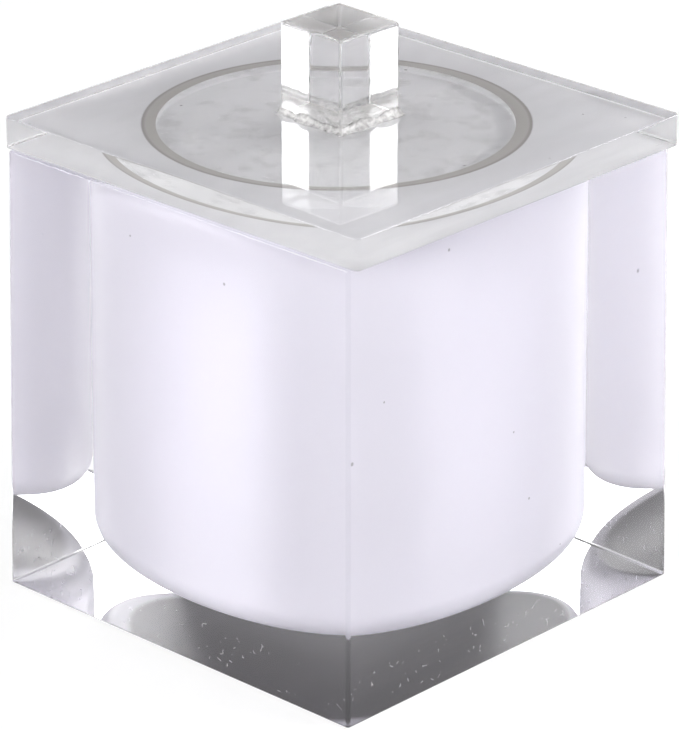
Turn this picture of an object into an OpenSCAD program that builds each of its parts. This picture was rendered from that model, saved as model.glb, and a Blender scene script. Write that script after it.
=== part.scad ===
// Cotton pad holder: a clear cast block with a white round cup set in it, and a clear lift-off lid.
// The origin is the centre of the block's base, +Z is up, and all sizes are in millimetres.

/* [Cup] */
// Inside diameter of the cup, which takes round cotton pads of 57 to 70 mm
cup_bore = 75.6; // [66:0.2:90]
// Depth of the cup, from its rim to its floor
cup_depth = 80; // [50:1:110]
// Thickness of the cup's white wall
liner_wall = 3; // [2:0.1:5]
// Thickness of the cup's white floor
liner_floor = 3; // [2:0.1:6]
// Outside radius where the cup's wall turns into its floor
liner_round = 5.2; // [3.5:0.1:9]
// Rounding on the inner edge of the cup's rim
rim_round = 0.8; // [0.2:0.1:1]
// How far the rim stands above the block, so that the lid bears on the rim
rim_proud = 0.3; // [0.1:0.1:1]

/* [Block] */
// Thinnest clear wall, between the cup and the top of the block's side
resin_wall = 4.2; // [3:0.1:10]
// Clear thickness under the cup
resin_base = 9.3; // [4:0.1:20]
// Draft of the block's sides, which lean in towards the top
draft_angle = 0.8; // [0:0.1:1.5]
// Polished bevel on the block's upright and top edges
block_edge = 0.7; // [0.3:0.1:1.5]
// Smaller bevel round the base
foot_edge = 0.4; // [0.2:0.1:1]
// Gap between the cup and its pocket, filled by the clear cement
pocket_gap = 0.05; // [0.02:0.01:0.2]

/* [Lid] */
// Overhang of the lid past the block's top, to the left and right
lid_overhang_x = 0.25; // [0:0.05:4]
// Overhang of the lid past the block's top, to the front and back
lid_overhang_y = 1.6; // [0:0.05:4]
// How far the lid sits towards the front, as its maker glued it
lid_forward = 0.9; // [0:0.1:1.5]
// Thickness of the lid's plate
lid_thickness = 6.5; // [4:0.1:10]
// Rounding of the lid's four corners
lid_corner = 1.2; // [1:0.1:4]
// Bevel on the lid's edges
lid_edge = 0.4; // [0.2:0.1:0.9]

/* [Locating disc] */
// Play all round between the disc and the cup's mouth
mouth_play = 2.7; // [1.6:0.05:4]
// Thickness of the disc
disc_thickness = 5; // [3:0.1:10]
// Bevel on the disc's lower edge
disc_edge = 0.4; // [0.2:0.1:0.9]
// How far the disc sits towards the back of the cup's mouth
disc_back = 0.8; // [0:0.1:1.2]
// Thickness of the cement between the disc and the plate
disc_film = 0.1; // [0.05:0.01:0.3]

/* [Knob] */
// Width of the knob
knob_w = 16; // [12:0.1:24]
// Depth of the knob
knob_d = 16.5; // [12:0.1:24]
// Height of the knob
knob_h = 18.6; // [12:0.1:30]
// Turn of the knob on the lid, in degrees
knob_turn = -2.1; // [-5:0.1:5]
// How far the knob sits behind the middle of the lid
knob_back = 0.6; // [0:0.1:2]
// Bevel on the knob's edges
knob_edge = 0.6; // [0.3:0.1:1.5]
// Thickness of the cement under the knob
knob_film = 0.15; // [0.05:0.01:0.3]
// Mean width of the cement that was squeezed out round the knob
bead_w = 1.1; // [0.7:0.1:2]
// Mean height of that squeezed-out cement against the knob's sides
bead_h = 1.5; // [0.8:0.1:3]

/* [Hidden] */

round_fn = 180;
corner_fn = 48;

cup_r = cup_bore / 2;
liner_r = cup_r + liner_wall;
block_w = 2 * (liner_r + resin_wall);
floor_z = resin_base + liner_floor;
rim_z = floor_z + cup_depth;
block_h = rim_z - rim_proud;
base_w = block_w + 2 * block_h * tan(draft_angle);
corner_draft = atan(sqrt(2) * tan(draft_angle));

lid_w = block_w + 2 * lid_overhang_x;
lid_d = block_w + 2 * lid_overhang_y;
lid_z = rim_z;
lid_y = -lid_forward;
lid_top = lid_z + lid_thickness;

disc_r = cup_r - mouth_play;
disc_top = lid_z - disc_film;
film_inset = 0.5;

knob_y = lid_y + knob_back;
knob_z = lid_top + knob_film;
bead_gap = 0.02;
film_lap = 0.3;

past = 1;
cutter = 3 * (base_w + block_h);

// A big block whose one face stands on the line through [x, z], leaning by `lean` degrees
// from the vertical towards +X at its top. It cuts away everything outside that face.
module cut_outside(x, z, lean) {
    translate([x, 0, z])
        rotate([0, lean, 0])
            translate([0, -cutter / 2, -cutter / 2])
                cube(cutter);
}

// Repeats a shape for the four sides, `first` degrees on from +X.
module on_four_sides(first = 0) {
    for (side = [0 : 90 : 270])
        rotate([0, 0, first + side])
            children();
}

// Half of the cup's outside seen from the side, from the floor up to `top`.
module cup_outline(r, bottom, corner, top) {
    translate([0, bottom])
        square([r - corner, top - bottom]);
    translate([0, bottom + corner])
        square([r, top - bottom - corner]);
    translate([r - corner, bottom + corner])
        intersection() {
            circle(corner, $fn = corner_fn);
            translate([0, -corner])
                square(corner);
        }
}

// The drafted square block with its bevels, before the pocket is made.
module drafted_block() {
    difference() {
        translate([-base_w / 2, -base_w / 2, 0])
            cube([base_w, base_w, block_h]);
        on_four_sides() {
            cut_outside(block_w / 2, block_h, -draft_angle);
            cut_outside(block_w / 2 - block_edge, block_h, -45);
            cut_outside(base_w / 2 - foot_edge, 0, 45);
        }
        on_four_sides(45)
            cut_outside((block_w - block_edge) / sqrt(2), block_h, -corner_draft);
    }
}

module outer_block() {
    color([0.88, 0.88, 0.92, 0.45])
        difference() {
            drafted_block();
            rotate_extrude($fn = round_fn)
                cup_outline(liner_r + pocket_gap, resin_base - pocket_gap,
                            liner_round + pocket_gap, block_h + past);
        }
}

module liner_cup() {
    inner_round = liner_round - liner_wall / 2;
    color([0.97, 0.97, 0.99])
        rotate_extrude($fn = round_fn) {
            difference() {
                cup_outline(liner_r, resin_base, liner_round, rim_z - rim_round);
                cup_outline(cup_r, floor_z, inner_round, rim_z + past);
            }
            translate([cup_r + rim_round, rim_z - 2 * rim_round])
                square([liner_wall - rim_round, 2 * rim_round]);
            translate([cup_r + rim_round, rim_z - rim_round])
                circle(rim_round, $fn = corner_fn);
        }
}

// A rectangle with true round corners.
module rounded_rectangle(w, d, corner) {
    square([w - 2 * corner, d], center = true);
    square([w, d - 2 * corner], center = true);
    for (x = [-1, 1], y = [-1, 1])
        translate([x * (w / 2 - corner), y * (d / 2 - corner)])
            circle(corner, $fn = corner_fn);
}

module lid_plate() {
    color([0.85, 0.85, 0.88, 0.45])
        translate([0, lid_y, lid_z])
            difference() {
                linear_extrude(lid_thickness)
                    rounded_rectangle(lid_w, lid_d, lid_corner);
                for (turn = [0, 180])
                    rotate([0, 0, turn]) {
                        cut_outside(lid_w / 2 - lid_edge, lid_thickness, -45);
                        cut_outside(lid_w / 2 - lid_edge, 0, 45);
                    }
                for (turn = [90, 270])
                    rotate([0, 0, turn]) {
                        cut_outside(lid_d / 2 - lid_edge, lid_thickness, -45);
                        cut_outside(lid_d / 2 - lid_edge, 0, 45);
                    }
            }
}

module locating_disc() {
    color([0.80, 0.80, 0.84, 0.45])
        translate([0, disc_back, disc_top - disc_thickness]) {
            cylinder(h = disc_edge, r1 = disc_r - disc_edge, r2 = disc_r, $fn = round_fn);
            translate([0, 0, disc_edge])
                cylinder(h = disc_thickness - disc_edge, r = disc_r, $fn = round_fn);
        }
}

module disc_bond() {
    color([0.90, 0.90, 0.90, 0.30])
        translate([0, disc_back, disc_top])
            cylinder(h = disc_film, r = disc_r - film_inset, $fn = round_fn);
}

module knob() {
    color([0.90, 0.90, 0.92, 0.45])
        translate([0, knob_y, knob_z])
            rotate([0, 0, knob_turn])
                difference() {
                    translate([-knob_w / 2, -knob_d / 2, 0])
                        cube([knob_w, knob_d, knob_h]);
                    for (turn = [0, 180])
                        rotate([0, 0, turn])
                            cut_outside(knob_w / 2 - knob_edge, knob_h, -45);
                    for (turn = [90, 270])
                        rotate([0, 0, turn])
                            cut_outside(knob_d / 2 - knob_edge, knob_h, -45);
                    for (x = [-1, 1], y = [-1, 1])
                        translate([x * knob_w / 2, y * knob_d / 2, knob_h / 2])
                            rotate([0, 0, 45])
                                cube([knob_edge * sqrt(2), knob_edge * sqrt(2), knob_h + 2 * past],
                                     center = true);
                }
}

// The squeezed-out cement is a ring of small three-sided heaps against the knob. Its width and
// height swell and shrink round the knob by these waves, as cement does when a block is pressed on.
bead_step = 5;
bead_turns = [0 : bead_step : 360 - bead_step];
function bead_wave(t) = 0.22 * sin(3 * t + 40) + 0.16 * sin(7 * t) + 0.12 * sin(13 * t + 75);
function on_knob_side(t, out) =
    let (m = max(abs(cos(t)), abs(sin(t))))
    [(knob_w / 2 + bead_gap) * cos(t) / m + out * cos(t),
     (knob_d / 2 + bead_gap) * sin(t) / m + out * sin(t)];
function bead_point(t, out, up) = [each on_knob_side(t, out), up];
function bead_section(t) =
    let (w = bead_w * (1 + bead_wave(t)), h = bead_h * (1 + bead_wave(t + 110)))
    [bead_point(t, 0, 0), bead_point(t, w, 0), bead_point(t, 0.38 * w, 0.42 * h), bead_point(t, 0, h)];

module squeezed_bead() {
    sections = [for (t = bead_turns) bead_section(t)];
    n = len(sections);
    k = len(sections[0]);
    polyhedron(
        points = [for (s = sections) each s],
        faces = [
            for (i = [0 : n - 1], j = [0 : k - 1])
                let (a = i * k + j, b = i * k + (j + 1) % k,
                     c = ((i + 1) % n) * k + (j + 1) % k, d = ((i + 1) % n) * k + j)
                each [[a, b, c], [a, c, d]]
        ]);
}

module knob_bond() {
    film_w = knob_w + 2 * film_lap;
    film_d = knob_d + 2 * film_lap;
    color([0.93, 0.93, 0.93, 0.35])
        translate([0, knob_y, lid_top])
            rotate([0, 0, knob_turn]) {
                translate([-film_w / 2, -film_d / 2, 0])
                    cube([film_w, film_d, knob_film]);
                squeezed_bead();
            }
}

outer_block();
liner_cup();
lid_plate();
locating_disc();
disc_bond();
knob();
knob_bond();
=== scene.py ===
# %% [markdown]
# A clear resin jar for cotton pads
#
# The jar is a heavy square block of clear cast resin. A white round cup stands inside it, and a
# clear lid with a round locating disc and a square knob lies on top. Almost everything that the
# eye sees here is light that went through clear resin, so this lesson models the real optics:
# closed clear solids, real bevels, and cemented faces that let light straight through.

# %% Load the frame
import bmesh
import bpy
import math
from mathutils import Matrix, Vector, noise


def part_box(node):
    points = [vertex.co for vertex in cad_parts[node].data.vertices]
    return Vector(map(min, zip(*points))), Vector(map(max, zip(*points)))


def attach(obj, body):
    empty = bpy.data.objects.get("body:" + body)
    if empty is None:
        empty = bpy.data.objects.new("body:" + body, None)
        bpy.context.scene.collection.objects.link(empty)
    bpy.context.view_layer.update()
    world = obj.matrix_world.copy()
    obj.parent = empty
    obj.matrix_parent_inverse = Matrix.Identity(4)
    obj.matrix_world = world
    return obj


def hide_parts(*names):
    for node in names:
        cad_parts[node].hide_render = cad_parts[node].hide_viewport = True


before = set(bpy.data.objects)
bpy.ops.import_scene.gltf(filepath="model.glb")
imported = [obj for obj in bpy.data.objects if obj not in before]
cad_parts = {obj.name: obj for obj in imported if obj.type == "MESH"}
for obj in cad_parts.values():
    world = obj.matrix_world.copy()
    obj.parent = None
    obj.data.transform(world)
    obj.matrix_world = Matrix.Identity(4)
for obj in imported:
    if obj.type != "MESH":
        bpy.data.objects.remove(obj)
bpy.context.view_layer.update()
MM = 0.001

# %% [markdown]
# The main sizes come from the frame, so a changed construction model carries its looks with it. A
# node's box gives the lowest and highest corner of the real piece, in metres. Some sizes can't be
# read from a box and are written out: the draft, the walls, the roundings and the knob's turn.

# %% Sizes from the frame
block_lo, block_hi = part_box("outer_block")
cup_lo, cup_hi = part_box("liner_cup")
plate_lo, plate_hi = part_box("lid_plate")
disc_lo, disc_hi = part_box("locating_disc")
knob_lo, knob_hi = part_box("knob")

base_w = block_hi[0] - block_lo[0]
block_top = block_hi[2]
draft = math.radians(0.8)
block_edge = 0.7 * MM
foot_edge = 0.4 * MM

cup_r = (cup_hi[0] - cup_lo[0]) / 2
cup_wall = 3.0 * MM
cup_floor = 3.0 * MM
cup_round = 5.2 * MM
rim_round = 0.8 * MM

plate_mid = Vector(((plate_lo[0] + plate_hi[0]) / 2, (plate_lo[1] + plate_hi[1]) / 2, 0))
plate_w = plate_hi[0] - plate_lo[0]
plate_d = plate_hi[1] - plate_lo[1]
plate_corner = 1.2 * MM
plate_edge = 0.4 * MM

disc_r = (disc_hi[0] - disc_lo[0]) / 2
disc_mid = Vector((0, (disc_lo[1] + disc_hi[1]) / 2, 0))
disc_edge = 0.4 * MM

knob_turn = math.radians(-2.1)
knob_w = 16.0 * MM
knob_d = 16.5 * MM
knob_mid = Vector((0, (knob_lo[1] + knob_hi[1]) / 2, 0))
knob_side_round = 0.7 * MM
knob_top_round = 0.9 * MM
print("block", round(base_w, 4), "high", round(block_top, 4), "cup radius", round(cup_r, 4))

# %% [markdown]
# Pieces that touch need a little care in a renderer. The cement films end just inside the pieces
# that they join. A hair's breadth stays free between the cup's rim and the lid that lies on it,
# because two faces at the same place would flicker.

# %% Where pieces touch
disc_film_inset = 0.5 * MM
knob_film_inset = 0.06 * MM
contact_gap = 0.04 * MM
print("free height between rim and lid", contact_gap)

# %% [markdown]
# The camera stands where the photographer stood: in front of one upright edge, looking down at 23
# degrees from just under a metre away. A long lens at that distance keeps the upright edges almost
# parallel. The focal length follows from the picture's scale: 4829 pixels on a height of 729.

# %% Camera
view_azimuth = math.radians(-46.54)
view_elevation = math.radians(23.15)
view_distance = 0.9507
view_target = Vector((2.46, 2.15, 45.0)) * MM
focal_px = 4829.0
picture_h = 729.0

toward_camera = Vector((math.sin(view_azimuth) * math.cos(view_elevation),
                        -math.cos(view_azimuth) * math.cos(view_elevation),
                        math.sin(view_elevation)))
camera = bpy.data.objects.new("camera", bpy.data.cameras.new("camera"))
camera.data.sensor_fit = "VERTICAL"
camera.data.sensor_height = 36.0
camera.data.lens = focal_px / picture_h * camera.data.sensor_height
camera.data.clip_start = 0.01
camera.location = view_target + toward_camera * view_distance
camera.rotation_euler = toward_camera.to_track_quat("Z", "Y").to_euler()
bpy.context.scene.collection.objects.link(camera)
bpy.context.scene.camera = camera
print("lens", round(camera.data.lens, 1), "mm")

# %% [markdown]
# Shader maths reads best as plain arithmetic. This small class wraps one output of a node, so that
# `1 - mask` or `grain * 0.2` adds the Math node by itself. Any other node is made by `node`.

# %% Shader maths
class Value:
    """One output of a shader node, with arithmetic."""

    def __init__(self, tree, socket):
        self.tree = tree
        self.socket = socket

    def math(self, operation, *terms):
        return node(self.tree, "ShaderNodeMath", {"operation": operation}, terms)[0]

    def __add__(self, other):
        return self.math("ADD", self, other)

    def __sub__(self, other):
        return self.math("SUBTRACT", self, other)

    def __rsub__(self, other):
        return self.math("SUBTRACT", other, self)

    def __mul__(self, other):
        return self.math("MULTIPLY", self, other)

    def __lt__(self, other):
        return self.math("LESS_THAN", self, other)

    def __gt__(self, other):
        return self.math("GREATER_THAN", self, other)

    __radd__ = __add__
    __rmul__ = __mul__

    def abs(self):
        return self.math("ABSOLUTE", self)

    def power(self, exponent):
        return self.math("POWER", self, exponent)

    def largest(self, other):
        return self.math("MAXIMUM", self, other)

    def rise(self, low, high):
        """0 below low, 1 above high, and a smooth rise between them."""
        settings = {"interpolation_type": "SMOOTHSTEP"}
        return node(self.tree, "ShaderNodeMapRange", settings, [self, low, high, 0.0, 1.0])[0]


def node(tree, kind, settings=None, values=()):
    """Adds a node of any type, sets it, fills its inputs and returns its outputs."""
    new = tree.nodes.new(kind)
    for key, value in (settings or {}).items():
        setattr(new, key, value)
    pairs = values.items() if isinstance(values, dict) else enumerate(values)
    for key, value in pairs:
        if isinstance(value, Value):
            tree.links.new(value.socket, new.inputs[key])
        else:
            new.inputs[key].default_value = value
    return [Value(tree, out) for out in new.outputs]


print("shader maths ready")

# %% [markdown]
# A pattern has to stay on its piece when the lid is lifted, so every material starts from the
# piece's own coordinates. Two measures are used again and again: smooth noise of a given size,
# and the distance from an upright axis.

# %% Places and noise
def object_point(tree):
    """The place on the piece, in metres, and its three coordinates."""
    place = node(tree, "ShaderNodeTexCoord")[3]
    x, y, z = node(tree, "ShaderNodeSeparateXYZ", None, [place])
    return place, x, y, z


def noise_at(tree, place, size, detail=2.0, roughness=0.5, stretch=(1, 1, 1), shift=(0, 0, 0)):
    """Smooth noise from 0 to 1 whose blobs are about `size` metres across."""
    settled = node(tree, "ShaderNodeMapping", None,
                   {"Vector": place, "Scale": stretch, "Location": shift})[0]
    return node(tree, "ShaderNodeTexNoise", None,
                {"Vector": settled, "Scale": 1.0 / size, "Detail": detail, "Roughness": roughness})[0]


def reach_from(x, y, middle):
    """The distance from an upright axis through `middle`."""
    return ((x - middle[0]).power(2.0) + (y - middle[1]).power(2.0)).power(0.5)


print("places and noise ready")

# %% [markdown]
# Materials are built from few kinds of parts: a surface, a mix of two surfaces, a mix of two
# colours and a bump. A function for each of them keeps the recipes below short.

# %% Parts of a material
def new_material(name):
    material = bpy.data.materials.new(name)
    material.use_nodes = True
    material.node_tree.nodes.clear()
    return material, material.node_tree


def finish_material(tree, surface):
    out = tree.nodes.new("ShaderNodeOutputMaterial")
    tree.links.new(surface.socket, out.inputs["Surface"])


def principled(tree, values):
    return node(tree, "ShaderNodeBsdfPrincipled", None, values)[0]


def transparent(tree):
    return node(tree, "ShaderNodeBsdfTransparent")[0]


def mix_shader(tree, share, first, second):
    return node(tree, "ShaderNodeMixShader", None, [share, first, second])[0]


def mix_colour(tree, factor, low, high):
    """A colour between two others. Each is another node's output, or red, green and blue."""
    low, high = (c if isinstance(c, Value) else (*c, 1.0) for c in (low, high))
    settings = {"data_type": "RGBA", "clamp_factor": True}
    return node(tree, "ShaderNodeMix", settings, {0: factor, 6: low, 7: high})[2]


def bump(tree, height):
    """A normal for a surface that is `height` metres higher or lower than its mesh."""
    return node(tree, "ShaderNodeBump", None, {"Strength": 1.0, "Distance": 1.0, "Height": height})[0]


print("parts of a material ready")

# %% [markdown]
# Small flaws tell the eye that a clear thing is real. Cast and hand-polished resin has a few dust
# specks, hairline scratches, and faces that are never quite flat. Each of these is a short
# function, and every clear piece has them at its own strength.

# %% Small flaws of polished resin
SPECK_SPACING = 4.5 * MM
SPECK_RADIUS = 0.3 * MM
SCRATCH_TURN = 0.5
SCRATCH_STRETCH = 0.06
SCRATCH_SPACING = 14 * MM
SCRATCH_WIDTH = 0.06 * MM
SCRATCH_SHARE = 0.30
WAVE_LENGTH = 22 * MM


def specks(tree, place, share):
    """1 on small round dots. Only `share` of the cells of a coarse grid hold one."""
    cells = node(tree, "ShaderNodeTexVoronoi", {"feature": "F1"},
                 {"Vector": place, "Scale": 1.0 / SPECK_SPACING, "Randomness": 1.0})
    luck = node(tree, "ShaderNodeSeparateColor", None, [cells[1]])
    size = SPECK_RADIUS / SPECK_SPACING * (0.5 + luck[1])
    return (cells[0] < size) * (luck[0] < share)


def hairlines(tree, place):
    """1 on thin broken scratches that run along one direction."""
    turned = node(tree, "ShaderNodeMapping", None, {
        "Vector": place,
        "Rotation": (0.3, 0.2, SCRATCH_TURN),
        "Scale": (SCRATCH_STRETCH, 1.0, 1.0),
    })[0]
    cells = node(tree, "ShaderNodeTexVoronoi", {"feature": "DISTANCE_TO_EDGE"},
                 {"Vector": turned, "Scale": 1.0 / SCRATCH_SPACING})[0]
    parts = noise_at(tree, place, SCRATCH_SPACING * 0.8, 1.0, shift=(SCRATCH_TURN, 0.0, 0.0))
    return (cells < SCRATCH_WIDTH / SCRATCH_SPACING) * (parts > 1.0 - SCRATCH_SHARE)


def resin_bump(tree, place, wave_depth, scratch_depth):
    """The normal of a hand-polished face: long shallow waves and a few hairlines."""
    height = noise_at(tree, place, WAVE_LENGTH, 0.0) * wave_depth
    if scratch_depth:
        height = height - hairlines(tree, place) * scratch_depth
    return bump(tree, height)


print("flaw helpers ready")

# %% [markdown]
# Clear resin is glass with an index of 1.49. Cast resin is a little less clear than cut sheet, so
# the tint is a setting. Where two clear pieces are cemented, the cement has the index of the
# resin and the joint disappears. Blender would still bend light at both faces, so the material
# gets a mask of its cemented places, and there it mixes in a plain transparent shader.
#
# Not every face is polished. The underside of the lid was ground flat and left dull, which is why
# the lid looks pale grey and hides the cup's rim. A second mask mixes in a dull white shader there.

# %% Clear resin
RESIN_INDEX = 1.49
CLOUD_SIZE = 20 * MM
DUST = (0.22, 0.21, 0.20)


def clear_material(name, tint, wave_depth, speck_share, scratch_depth=0,
                   cemented=None, ground=None):
    """Clear resin. `cemented(x, y, z)` gives the mask of the cemented places.

    `ground(tree, place, x, y, z)` gives the share and the colour of the faces that were ground dull.
    """
    material, tree = new_material(name)
    place, x, y, z = object_point(tree)
    dust = specks(tree, place, speck_share)
    cloud = noise_at(tree, place, CLOUD_SIZE, 1.0)
    body = mix_colour(tree, cloud, tint, [c * 0.98 for c in tint])
    surface = principled(tree, {
        "Base Color": mix_colour(tree, dust * 0.8, body, DUST),
        "Roughness": 0.01 * cloud.rise(0.62, 0.80),
        "IOR": RESIN_INDEX,
        "Transmission Weight": 1.0,
        "Normal": resin_bump(tree, place, wave_depth, scratch_depth),
    })
    if ground:
        share, colour = ground(tree, place, x, y, z)
        dull = principled(tree, {"Base Color": colour, "Roughness": 0.5 + 0.2 * cloud})
        surface = mix_shader(tree, share, surface, dull)
    if cemented:
        surface = mix_shader(tree, cemented(x, y, z), surface, transparent(tree))
    finish_material(tree, surface)
    return material


print("index of refraction", RESIN_INDEX)

# %% [markdown]
# Bevels are polished by hand, less well than the faces. They get a material of their own that is a
# little rougher. Round the block's foot the bevel is coloured darker towards the bottom: that draws
# the thin grey line along the lower edge.

# %% Worn bevels
FOOT_DARKENING = (0.13, 0.13, 0.15)
CLEAN_BEVEL = (0.90, 0.90, 0.92)
WORN_BEVEL = (0.95, 0.95, 0.96)
FOOT_DARKENING_ENDS = (0.38 * MM, 0.9 * MM)


def edge_material(name):
    material, tree = new_material(name)
    place, x, y, z = object_point(tree)
    wear = noise_at(tree, place, 3 * MM, 2.0)
    # The bevel's colour is darker towards the foot of the block.
    tint = mix_colour(tree, z.rise(*FOOT_DARKENING_ENDS), FOOT_DARKENING, CLEAN_BEVEL)
    finish_material(tree, principled(tree, {
        "Base Color": mix_colour(tree, wear * 0.3, tint, WORN_BEVEL),
        "Roughness": 0.06 + 0.10 * wear,
        "IOR": RESIN_INDEX,
        "Transmission Weight": 1.0,
    }))
    return material


worn_edges = edge_material("worn_resin_edge")
print("made", worn_edges.name)

# %% [markdown]
# The cemented places are told by their height and outline: the disc's circle on the underside of
# the plate, and the turned rectangle of the knob on its top. A tolerance of five thousandths of a
# millimetre keeps each mask on its own face.

# %% Cemented places
FACE_TOL = 0.005 * MM


def on_height(z, height):
    return (z - height).abs() < FACE_TOL


def on_disc(x, y):
    return reach_from(x, y, disc_mid) < disc_r - disc_film_inset


def in_knob(x, y):
    """1 inside the knob's turned outline."""
    right = (x - knob_mid[0]) * math.cos(knob_turn) + (y - knob_mid[1]) * math.sin(knob_turn)
    ahead = (y - knob_mid[1]) * math.cos(knob_turn) - (x - knob_mid[0]) * math.sin(knob_turn)
    in_width = right.abs() < knob_w / 2 - knob_film_inset
    in_depth = ahead.abs() < knob_d / 2 - knob_film_inset
    return in_width * in_depth


def plate_cement(x, y, z):
    below = on_height(z, plate_lo[2]) * on_disc(x, y)
    above = on_height(z, plate_hi[2]) * in_knob(x, y)
    return below + above


def disc_cement(x, y, z):
    return on_height(z, disc_hi[2]) * on_disc(x, y)


def knob_cement(x, y, z):
    return on_height(z, knob_lo[2]) * in_knob(x, y)


print("cement masks ready")

# %% [markdown]
# The ground faces are the undersides of the plate and of the disc, and the disc's turned side.
# Round the disc the plate has a narrow brownish ring of painted shade, which stands for the dark gap
# between the disc and the mouth of the cup. It is a little off centre and not quite round: it is
# narrower towards the front and the back corner.

# %% Ground faces
PLATE_GREYS = (0.665, 0.660, 0.678), (0.715, 0.710, 0.728)
GAP_SHADE_BROWNS = (0.445, 0.424, 0.406), (0.330, 0.312, 0.300)
DISC_GREYS = (0.890, 0.886, 0.898), (0.925, 0.921, 0.933)
PLATE_DULLNESS = 0.93
DISC_DULLNESS = 0.78
DISC_SIDE_DULLNESS = 0.85

ring_mid = disc_mid + Vector((0.44, 0.12, 0)) * MM
ring_r = disc_r + 2.6 * MM
ring_squash = (ring_r / (ring_r - 0.75 * MM)) ** 2 - 1


def grinding(tree, place):
    """0 to 1 in long faint strokes, as a disc of emery leaves them."""
    return noise_at(tree, place, 7 * MM, 3.0, 0.6, stretch=(0.35, 1.0, 1.0)).rise(0.25, 0.75)


def plate_ground(tree, place, x, y, z):
    """The underside of the plate is dull, with a ring of painted shade round the disc."""
    dull = mix_colour(tree, grinding(tree, place), *PLATE_GREYS)
    right = x - ring_mid[0]
    ahead = y - ring_mid[1]
    slant = (right + ahead).power(2.0) * (ring_squash / 2)
    reach = (right * right + ahead * ahead + slant).power(0.5)
    # Painted shade: the brown ring stands for the dark gap between the disc and the cup's mouth.
    ring = 1 - reach.rise(ring_r - 0.25 * MM, ring_r + 0.15 * MM)
    gap_shade_colour = mix_colour(tree, reach.rise(ring_r - 1.0 * MM, ring_r - 0.3 * MM), *GAP_SHADE_BROWNS)
    return on_height(z, plate_lo[2]) * PLATE_DULLNESS, mix_colour(tree, ring, dull, gap_shade_colour)


def disc_ground(tree, place, x, y, z):
    """The underside of the disc and its side are duller than its top."""
    side = 1 - on_disc(x, y)
    share = (on_height(z, disc_lo[2]) * DISC_DULLNESS).largest(side * DISC_SIDE_DULLNESS)
    return share, mix_colour(tree, grinding(tree, place), *DISC_GREYS)


print("ring radius", round(ring_r, 5))

# %% [markdown]
# The foot of the block has short white nicks and crushed bubbles, left by sawing and sanding. They
# lie on the thin edges of a fine cell pattern, kept only in bits, in patches and low on the block.

# %% Nicks near the foot
NICK_SPACING = 2.4 * MM
NICK_WHITE = (0.75, 0.74, 0.77, 1.0)
NICK_SHARE = 0.36
NICK_LOW = 1.5 * MM
NICK_HIGH = 10 * MM


def block_nicks(tree, place, x, y, z):
    web = node(tree, "ShaderNodeTexVoronoi", {"feature": "DISTANCE_TO_EDGE"},
               {"Vector": place, "Scale": 1.0 / NICK_SPACING})[0]
    bits = noise_at(tree, place, 1.6 * MM, 2.0) > 0.60
    patch = noise_at(tree, place, 9 * MM, 1.0) > 0.49
    low = (z > NICK_LOW) * (z < NICK_HIGH)
    return (web < 0.032) * bits * patch * low * NICK_SHARE, NICK_WHITE


print("nicks between", NICK_LOW, "and", NICK_HIGH)

# %% [markdown]
# Each clear piece now gets its own recipe. The block is cast, with a breath of lilac like the cup's.
# The plate is cut sheet with a few scratches, and the knob was polished by hand on a soft wheel, so
# its faces are the least flat.

# %% The clear materials
CAST_TINT = (0.985, 0.98, 0.995)
SHEET_TINT = (0.985, 0.985, 0.99)

block_clear = clear_material("cast_clear_resin", CAST_TINT, wave_depth=0.02 * MM, speck_share=0.12,
                             ground=block_nicks)
plate_clear = clear_material("polished_clear_sheet", SHEET_TINT, wave_depth=0.01 * MM,
                             speck_share=0.14, scratch_depth=0.006 * MM,
                             cemented=plate_cement, ground=plate_ground)
disc_clear = clear_material("turned_clear_disc", SHEET_TINT, wave_depth=0.01 * MM, speck_share=0.05,
                            cemented=disc_cement, ground=disc_ground)
knob_clear = clear_material("polished_clear_knob", SHEET_TINT, wave_depth=0.03 * MM, speck_share=0.04,
                            cemented=knob_cement)
print("clear materials made")

# %% [markdown]
# The cup is cast in a white resin. It isn't a plain white: the colour has a breath of lilac, it
# drifts a little over the casting, and the surface has a fine satin unevenness. Its underside is
# painted dark, as painted shade for the shadow under the cup, and the clear foot of the block
# mirrors it: that is the dark zone below the white cup.

# %% White cast resin
CUP_WHITES = (0.872, 0.852, 0.925), (0.842, 0.824, 0.898)
UNDERSIDE_SHADES = (0.082, 0.074, 0.088), (0.120, 0.109, 0.125)
UNDERSIDE_SHADE_MIDDLE = (1.8 * MM, -1.8 * MM)
UNDERSIDE_SHADE_ENDS = (33.4 * MM, 36.0 * MM)
SATIN_DEPTH = 0.004 * MM


def white_material(name):
    material, tree = new_material(name)
    place, x, y, z = object_point(tree)
    drift = noise_at(tree, place, 35 * MM, 3.0)
    grain = noise_at(tree, place, 1.2 * MM, 2.0)
    streaks = noise_at(tree, place, 4 * MM, 4.0, 0.6, stretch=(0.12, 1.0, 1.0))
    white = mix_colour(tree, drift, *CUP_WHITES)
    # Painted shade: a dark disc on the cup's underside, a little off centre, where the shadow under
    # the cup falls.
    underside_shade = mix_colour(tree, streaks.rise(0.3, 0.7), *UNDERSIDE_SHADES)
    below = 1 - z.rise(cup_lo[2] + 0.1 * MM, cup_lo[2] + 0.5 * MM)
    inside = 1 - reach_from(x, y, UNDERSIDE_SHADE_MIDDLE).rise(*UNDERSIDE_SHADE_ENDS)
    finish_material(tree, principled(tree, {
        "Base Color": mix_colour(tree, below * inside, white, underside_shade),
        "Roughness": 0.32 + 0.10 * grain,
        "Normal": bump(tree, grain * SATIN_DEPTH),
    }))
    return material


cup_white = white_material("white_cast_resin")
print("made", cup_white.name)

# %% [markdown]
# There are three cements. The film between plate and disc has set clear. The film under the knob is
# hazy, and makes the knob's top look grey. The bead that was squeezed out round the knob is
# wrinkled and half clear: a mix of a rough shader with a plain transparent one.

# %% Cements
BEAD_GREYS_AND_CREASE_SHADE = (0.46, 0.45, 0.44), (0.70, 0.69, 0.69)
WRINKLE_DEPTH = 0.2 * MM


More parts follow.
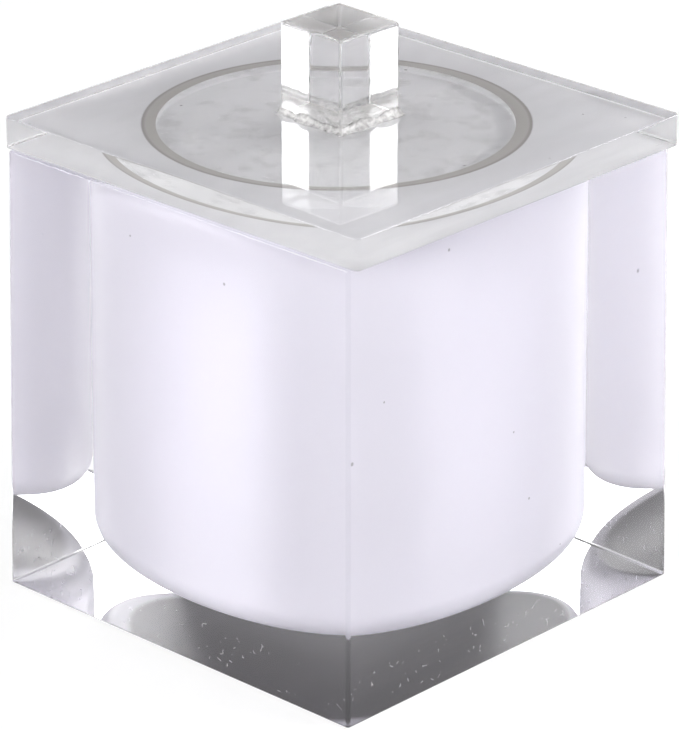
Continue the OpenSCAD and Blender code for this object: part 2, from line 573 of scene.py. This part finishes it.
def cement_material(name, blotch_size, least, most, pale, deep, clearness):
    """Cement that has set clear or hazy. The blotches raise its share from least to most."""
    material, tree = new_material(name)
    place = object_point(tree)[0]
    blotch = noise_at(tree, place, blotch_size, 4.0, 0.6).rise(0.45, 0.75)
    milky = principled(tree, {
        "Base Color": mix_colour(tree, blotch, pale, deep),
        "Roughness": 0.25 + 0.2 * blotch,
        "IOR": RESIN_INDEX,
        "Transmission Weight": clearness,
    })
    share = least + (most - least) * blotch
    finish_material(tree, mix_shader(tree, share, transparent(tree), milky))
    return material


def bead_material(name):
    material, tree = new_material(name)
    place = object_point(tree)[0]
    wrinkle = noise_at(tree, place, 1.1 * MM, 4.0, 0.6)
    fold = wrinkle.rise(0.38, 0.66)
    skin = principled(tree, {
        # Partly painted crease shade: the cement's grey is darker in the hollows of the wrinkles,
        # where the bump is lowest.
        "Base Color": mix_colour(tree, fold, *BEAD_GREYS_AND_CREASE_SHADE),
        "Roughness": 0.22 + 0.15 * wrinkle,
        "IOR": RESIN_INDEX,
        "Transmission Weight": 0.35,
        "Normal": bump(tree, wrinkle * WRINKLE_DEPTH),
    })
    finish_material(tree, mix_shader(tree, 0.45 + 0.30 * fold, transparent(tree), skin))
    return material


film_cement = cement_material("clear_cement_film", blotch_size=6 * MM, least=0.0, most=0.10,
                              pale=(0.93, 0.93, 0.93), deep=(0.80, 0.80, 0.81), clearness=0.7)
hazy_cement = cement_material("hazy_cement_film", blotch_size=4 * MM, least=0.80, most=0.92,
                              pale=(0.64, 0.63, 0.625), deep=(0.52, 0.51, 0.50), clearness=0.0)
bead_cement = bead_material("squeezed_cement")
print("cement materials made")

# %% [markdown]
# Each piece is a bmesh that operators shape. Flat faces stay flat-shaded and only the bevels and
# round walls are smooth: a clear solid shows every wrong normal as a bent reflection. Smooth faces
# are kept in zones, and an edge between two zones is shaded sharp.

# %% Mesh helpers
ROUND = 192


def square_block(bm, w, d, low, high, middle=Vector((0, 0, 0))):
    """A box that stands from `low` to `high`, centred on `middle`."""
    made = bmesh.ops.create_cube(bm, size=1.0)["verts"]
    bmesh.ops.scale(bm, vec=(w, d, high - low), verts=made)
    bmesh.ops.translate(bm, vec=middle + Vector((0, 0, (low + high) / 2)), verts=made)
    return made


def round_block(bm, radius, low, high, middle=Vector((0, 0, 0))):
    """A cylinder that stands from `low` to `high`, centred on `middle`."""
    made = bmesh.ops.create_cone(bm, cap_ends=True, segments=ROUND, radius1=radius, radius2=radius,
                                 depth=high - low)["verts"]
    bmesh.ops.translate(bm, vec=middle + Vector((0, 0, (low + high) / 2)), verts=made)


def start_mesh():
    """An empty mesh whose faces can be told apart by zone. Zone 0 is flat."""
    bm = bmesh.new()
    bm.faces.layers.int.new("zone")
    return bm


def smooth_zone(bm, faces):
    """Makes the faces one smooth zone."""
    zone = bm.faces.layers.int["zone"]
    number = 1 + max(face[zone] for face in bm.faces)
    for face in faces:
        face.smooth = True
        face[zone] = number


def soften(bm, edges, width, segments, slot=None):
    """Rounds edges off. The new round faces become a zone of their own, with material `slot`."""
    made = bmesh.ops.bevel(bm, geom=list(edges), offset=width, offset_type="OFFSET",
                           segments=segments, profile=0.5, affect="EDGES", material=-1,
                           clamp_overlap=True)
    smooth_zone(bm, made["faces"])
    if slot is not None:
        for face in made["faces"]:
            face.material_index = slot


print("sides of a round piece", ROUND)

# %% [markdown]
# The last helpers choose what an operator works on, and turn a bmesh into a finished piece. A piece
# has its doubles merged and its normals turned outwards. It rides on a body, so that the lid's
# pieces lift together, and it replaces the plain solid of the construction model.


def upright_edges(bm):
    return [e for e in bm.edges
            if abs((e.verts[0].co - e.verts[1].co).normalized().z) > 0.9]


def edges_at(bm, height, tol=1e-6):
    return [e for e in bm.edges if all(abs(v.co.z - height) < tol for v in e.verts)]


def edges_between(bm, verts):
    return [e for e in bm.edges if e.verts[0] in verts and e.verts[1] in verts]


def top_face(bm):
    return max(bm.faces, key=lambda f: f.calc_center_median().z)


def finish_piece(name, bm, materials, body, node_name):
    bmesh.ops.remove_doubles(bm, verts=bm.verts, dist=1e-7)
    bmesh.ops.recalc_face_normals(bm, faces=bm.faces)
    zone = bm.faces.layers.int["zone"]
    for edge in bm.edges:
        edge.smooth = len({face[zone] for face in edge.link_faces}) == 1
    mesh = bpy.data.meshes.new(name)
    bm.to_mesh(mesh)
    bm.free()
    for material in materials:
        mesh.materials.append(material)
    piece = bpy.data.objects.new(name, mesh)
    bpy.context.scene.collection.objects.link(piece)
    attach(piece, body)
    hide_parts(node_name)
    print(name, "faces", len(mesh.polygons))


# %% [markdown]
# The block starts as a plain box. Its top is scaled in for the draft, its edges are rounded,
# and then the top face gives way to a ring round the mouth of the pocket. In the real jar the
# white cup touches the resin all over, so that no air shows between them. The pocket here is a
# little smaller than the cup, which hides its wall inside the cup's own wall.

# %% The block
pocket_overlap = 0.3 * MM


def dig_pocket(bm):
    """Opens the top, draws a wall down from the mouth's circle and closes it with a floor."""
    bmesh.ops.delete(bm, geom=[top_face(bm)], context="FACES_ONLY")
    mouth = bmesh.ops.create_circle(bm, cap_ends=False, segments=ROUND,
                                    radius=cup_r - pocket_overlap)["verts"]
    bmesh.ops.translate(bm, vec=(0, 0, block_top), verts=mouth)
    wall = bmesh.ops.extrude_edge_only(bm, edges=edges_between(bm, mouth))["geom"]
    low = [g for g in wall if isinstance(g, bmesh.types.BMVert)]
    bottom = cup_lo[2] + pocket_overlap
    bmesh.ops.translate(bm, vec=(0, 0, bottom - block_top), verts=low)
    smooth_zone(bm, [g for g in wall if isinstance(g, bmesh.types.BMFace)])
    floor_edges = edges_between(bm, low)
    bmesh.ops.contextual_create(bm, geom=floor_edges)
    soften(bm, floor_edges, cup_round, segments=8)
    open_edges = [e for e in bm.edges if e.is_boundary]
    bmesh.ops.triangle_fill(bm, use_beauty=True, use_dissolve=False, edges=open_edges)


def make_block():
    bm = start_mesh()
    made = square_block(bm, base_w, base_w, 0.0, block_top)
    top_share = 1 - 2 * block_top * math.tan(draft) / base_w
    top = [v for v in made if v.co.z > block_top / 2]
    bmesh.ops.scale(bm, vec=(top_share, top_share, 1), verts=top)
    soften(bm, upright_edges(bm), block_edge, segments=6, slot=1)
    soften(bm, edges_at(bm, block_top), block_edge, segments=6, slot=1)
    soften(bm, edges_at(bm, 0.0), foot_edge, segments=5, slot=1)
    dig_pocket(bm)
    finish_piece("clear_block", bm, [block_clear, worn_edges], "jar", "outer_block")


make_block()

# %% [markdown]
# The cup is a cylinder whose top is inset by the wall and pushed down to the floor. The lower edge
# and the rim are then rounded, as the casting mould leaves them.

# %% The cup
def make_cup():
    bm = start_mesh()
    low = cup_lo[2]
    floor_z = low + cup_floor
    high = cup_hi[2] - contact_gap
    round_block(bm, cup_r, low, high)
    top = top_face(bm)
    bmesh.ops.inset_region(bm, faces=[top], thickness=cup_wall, use_even_offset=True)
    inside = bmesh.ops.extrude_discrete_faces(bm, faces=[top])["faces"][0]
    bmesh.ops.translate(bm, vec=(0, 0, floor_z - high), verts=inside.verts)
    soften(bm, edges_at(bm, low), cup_round, segments=24)
    soften(bm, edges_at(bm, floor_z), cup_round - cup_wall / 2, segments=16)
    inner_rim = [e for e in edges_at(bm, high)
                 if max(v.co.xy.length for v in e.verts) < cup_r - cup_wall / 2]
    soften(bm, inner_rim, rim_round, segments=6)
    smooth_zone(bm, [face for face in bm.faces if abs(face.normal.z) < 0.999])
    finish_piece("white_cup", bm, [cup_white], "jar", "liner_cup")


make_cup()

# %% [markdown]
# The plate's upright corners are rounded first and its long edges second, so that the two roundings
# meet in a clean corner, as they do when a sheet is cut, rounded and then flame-polished. The disc
# and the film of cement are two round slabs.

# %% The lid's plate, its disc and the cement between them
def make_plate():
    bm = start_mesh()
    square_block(bm, plate_w, plate_d, plate_lo[2], plate_hi[2], plate_mid)
    soften(bm, upright_edges(bm), plate_corner, segments=8)
    soften(bm, edges_at(bm, plate_hi[2]), plate_edge, segments=5, slot=1)
    soften(bm, edges_at(bm, plate_lo[2]), plate_edge, segments=5, slot=1)
    finish_piece("lid_sheet", bm, [plate_clear, worn_edges], "lid", "lid_plate")


def make_slab(name, radius, low, high, edge, material, node_name):
    """A round slab on the disc's axis. `edge` rounds its lower edge."""
    bm = start_mesh()
    round_block(bm, radius, low, high, disc_mid)
    smooth_zone(bm, [face for face in bm.faces if abs(face.normal.z) < 0.5])
    if edge:
        soften(bm, edges_at(bm, low), edge, segments=5)
    finish_piece(name, bm, [material], "lid", node_name)


make_plate()
make_slab("lid_disc", disc_r, disc_lo[2], disc_hi[2], disc_edge, disc_clear, "locating_disc")
make_slab("disc_cement", disc_r - disc_film_inset, disc_hi[2], plate_lo[2], 0, film_cement,
          "disc_bond")

# %% [markdown]
# The knob is a small block with softened edges, set on the lid a little turned. It is made at the
# origin and then placed, because a turned box is easier to bevel while it is straight.

# %% The knob
def place_on_lid(bm):
    """Turns a mesh as the knob is turned, and moves it under the knob's axis."""
    bmesh.ops.rotate(bm, cent=(0, 0, 0), matrix=Matrix.Rotation(knob_turn, 3, "Z"), verts=bm.verts)
    bmesh.ops.translate(bm, vec=knob_mid, verts=bm.verts)


def make_knob():
    bm = start_mesh()
    square_block(bm, knob_w, knob_d, knob_lo[2], knob_hi[2])
    soften(bm, upright_edges(bm), knob_side_round, segments=6)
    soften(bm, edges_at(bm, knob_hi[2]), knob_top_round, segments=8)
    place_on_lid(bm)
    finish_piece("lid_knob", bm, [knob_clear], "lid", "knob")


make_knob()

# %% [markdown]
# The cement that was squeezed out round the knob's foot is a ring with a hollow slope, like a small
# heap of sand against a wall. Seven closed loops follow the knob's outline, one for each point of
# that slope, and smooth noise pushes them in and out. Bridging neighbours makes the skin. The film
# under the knob is a thin box in the same mesh.

# %% The cement under and round the knob
BEAD_W = 1.15 * MM
BEAD_H = 1.5 * MM
BEAD_GAP = 0.02 * MM
BEAD_STATIONS = 144
BEAD_SLOPE = ((0.0, 0.0), (1.0, 0.0), (0.92, 0.10), (0.62, 0.24),
              (0.36, 0.46), (0.16, 0.74), (0.0, 1.0))


def bead_swell(turn):
    """How much wider and higher the bead is at one turn round the knob."""
    slow = noise.noise(Vector((2.2 * math.cos(turn), 2.2 * math.sin(turn), 0.3)))
    quick = noise.noise(Vector((7 * math.cos(turn), 7 * math.sin(turn), 4.1)))
    return 1 + 0.45 * slow + 0.25 * quick


def bead_point(turn, out, up):
    """A point `out` of the bead's width away from the knob's side and `up` of its height."""
    c, s = math.cos(turn), math.sin(turn)
    reach = max(abs(c), abs(s))
    width = out * BEAD_W * bead_swell(turn)
    return Vector(((knob_w / 2 + BEAD_GAP) * c / reach + width * c,
                   (knob_d / 2 + BEAD_GAP) * s / reach + width * s,
                   plate_hi[2] + up * BEAD_H * bead_swell(turn)))


def make_bead():
    bm = start_mesh()
    loops = []
    for out, up in BEAD_SLOPE:
        loop = bmesh.ops.create_circle(bm, cap_ends=False, segments=BEAD_STATIONS,
                                       radius=1.0)["verts"]
        for vert in loop:
            vert.co = bead_point(math.atan2(vert.co.y, vert.co.x), out, up)
        loops.append(edges_between(bm, loop))
    for near, far in zip(loops, loops[1:] + loops[:1]):
        bmesh.ops.bridge_loops(bm, edges=near + far)
    smooth_zone(bm, bm.faces)
    square_block(bm, knob_w - 2 * knob_film_inset, knob_d - 2 * knob_film_inset,
                 plate_hi[2], knob_lo[2])
    for face in bm.faces:
        face.material_index = 0 if face.smooth else 1
    place_on_lid(bm)
    finish_piece("knob_cement", bm, [bead_cement, hazy_cement], "lid", "knob_bond")


make_bead()

# %% [markdown]
# The stage is a white table in a white room. The eye sees the table and the horizon as white, also
# through the clear resin. That white comes from a glow that only sight rays see, so it puts no
# light on the jar. The table itself is a mid grey, and keeps the jar's soft shadow.

# %% The table
TABLE_GLOW = 0.78
TABLE_GREYS = (0.20, 0.20, 0.20), (0.18, 0.18, 0.18)
TABLE_SIZE = 3.0
TABLE_DROP = 0.1 * MM
WHITE = (1, 1, 1, 1)


def sight_ray(tree):
    """1 on a ray that the eye follows, straight or through clear and shiny faces alone."""
    path = tree.nodes.new("ShaderNodeLightPath")
    camera, glossy, clear, bounced = (Value(tree, path.outputs[name]) for name in (
        "Is Camera Ray", "Is Glossy Ray", "Is Transmission Ray", "Diffuse Depth"))
    return camera.largest(glossy).largest(clear) * (bounced < 0.5)


def table_material():
    material, tree = new_material("white_table")
    place = object_point(tree)[0]
    fibre = noise_at(tree, place, 4 * MM, 2.0)
    matte = principled(tree, {"Base Color": mix_colour(tree, fibre, *TABLE_GREYS), "Roughness": 0.7})
    glow = node(tree, "ShaderNodeEmission", None,
                {"Color": WHITE, "Strength": sight_ray(tree) * TABLE_GLOW})[0]
    finish_material(tree, node(tree, "ShaderNodeAddShader", None, [matte, glow])[0])
    return material


def make_table():
    bm = bmesh.new()
    bmesh.ops.create_grid(bm, x_segments=1, y_segments=1, size=TABLE_SIZE)
    mesh = bpy.data.meshes.new("table")
    bm.to_mesh(mesh)
    bm.free()
    mesh.materials.append(table_material())
    table = bpy.data.objects.new("table", mesh)
    table.location.z = -TABLE_DROP
    bpy.context.scene.collection.objects.link(table)


make_table()
print("table", TABLE_SIZE)

# %% [markdown]
# The room is the world shader, and depends on the height of the direction. The camera sees plain
# white. Clear and shiny faces see white near the horizon and a dim room above it, as in a studio:
# with a white ceiling the lid would show nothing but glare. All other rays get soft white light
# from the sides and little from above.

# %% The room
DIM_ROOM = 0.16
WHITE_ENDS = (0.14, 0.24)
LOW_SKY = 0.97
HIGH_SKY = 0.22
LOW_SKY_ENDS = (0.55, 0.70)


def make_world():
    world = bpy.data.worlds.new("white_room")
    world.use_nodes = True
    tree = world.node_tree
    tree.nodes.clear()
    camera = Value(tree, tree.nodes.new("ShaderNodeLightPath").outputs["Is Camera Ray"])
    direction = node(tree, "ShaderNodeTexCoord")[0]
    height = node(tree, "ShaderNodeSeparateXYZ", None, [direction])[2]
    seen = 1.0 + (DIM_ROOM - 1.0) * height.rise(*WHITE_ENDS)
    light = LOW_SKY + (HIGH_SKY - LOW_SKY) * height.rise(*LOW_SKY_ENDS)
    sight = sight_ray(tree)
    strength = camera.largest(sight * seen + (1 - sight) * light)
    back = node(tree, "ShaderNodeBackground", None, {"Color": WHITE, "Strength": strength})[0]
    out = tree.nodes.new("ShaderNodeOutputWorld")
    tree.links.new(back.socket, out.inputs["Surface"])
    bpy.context.scene.world = world


make_world()
print("room seen by clear faces", DIM_ROOM)

# %% [markdown]
# Soft lamps stand left and right of the camera. Each is given by the part of the room that it
# fills, in degrees: its azimuths, its elevations and its brightness. The knob works as a pair of
# prisms, so the two core lamps show in it as white columns. The others make the soft bright and
# dark bands on the cup and beside it.

# %% Lamps
LAMP_DISTANCE = 1.0
SIDE_BAND = (10, 36)
CORE_BAND = (15, 25)
LAMPS = {
    "right_lamp": ((20.6, 38.5), SIDE_BAND, 11.0),
    "right_core_lamp": ((38.5, 55), CORE_BAND, 7.0),
    "far_right_lamp": ((55, 72), SIDE_BAND, 5.6),
    "front_left_lamp": ((-88, -68), SIDE_BAND, 6.5),
    "left_fill_lamp": ((-111, -90), SIDE_BAND, 3.0),
    "left_lamp": ((-127, -111), SIDE_BAND, 6.0),
    "left_core_lamp": ((-145, -127), CORE_BAND, 5.2),
    "high_right_lamp": ((27, 53), (40, 64), 3.2),
    "ceiling_lamp": ((-61, -31), (74, 104), 1.2),
}


def soft_lamp(name, azimuths, elevations, brightness):
    """A soft lamp that fills the given azimuths and elevations, as seen from the jar.

    Azimuth 0 is in front, along -Y. Brightness 1 is as bright as the white surroundings.
    """
    width, height = (2 * LAMP_DISTANCE * math.tan(math.radians(last - first) / 2)
                     for first, last in (azimuths, elevations))
    a, e = (math.radians(sum(ends) / 2) for ends in (azimuths, elevations))
    away = Vector((math.sin(a) * math.cos(e), -math.cos(a) * math.cos(e), math.sin(e)))
    data = bpy.data.lights.new(name, "AREA")
    data.shape = "RECTANGLE"
    data.size = width
    data.size_y = height
    data.energy = brightness * math.pi * width * height
    lamp = bpy.data.objects.new(name, data)
    lamp.location = view_target + away * LAMP_DISTANCE
    lamp.rotation_euler = away.to_track_quat("Z", "Y").to_euler()
    lamp.visible_camera = False
    bpy.context.scene.collection.objects.link(lamp)


for name, (azimuths, elevations, brightness) in LAMPS.items():
    soft_lamp(name, azimuths, elevations, brightness)
print("lamps", len(LAMPS))

# %% [markdown]
# Light that is totally reflected inside the block makes its bright and dark bands. Blender blurs
# such light unless blur_glossy is 0, and it turns to black bits unless the number of bounces is
# high. The colours stay as they are written under the Standard view.

# %% Light paths and view
MANY_BOUNCES = 32

cycles = bpy.context.scene.cycles
cycles.blur_glossy = 0.0
cycles.max_bounces = MANY_BOUNCES
cycles.transmission_bounces = MANY_BOUNCES
cycles.glossy_bounces = MANY_BOUNCES
cycles.transparent_max_bounces = 2 * MANY_BOUNCES
bpy.context.scene.view_settings.view_transform = "Standard"
print("bounces", cycles.max_bounces)
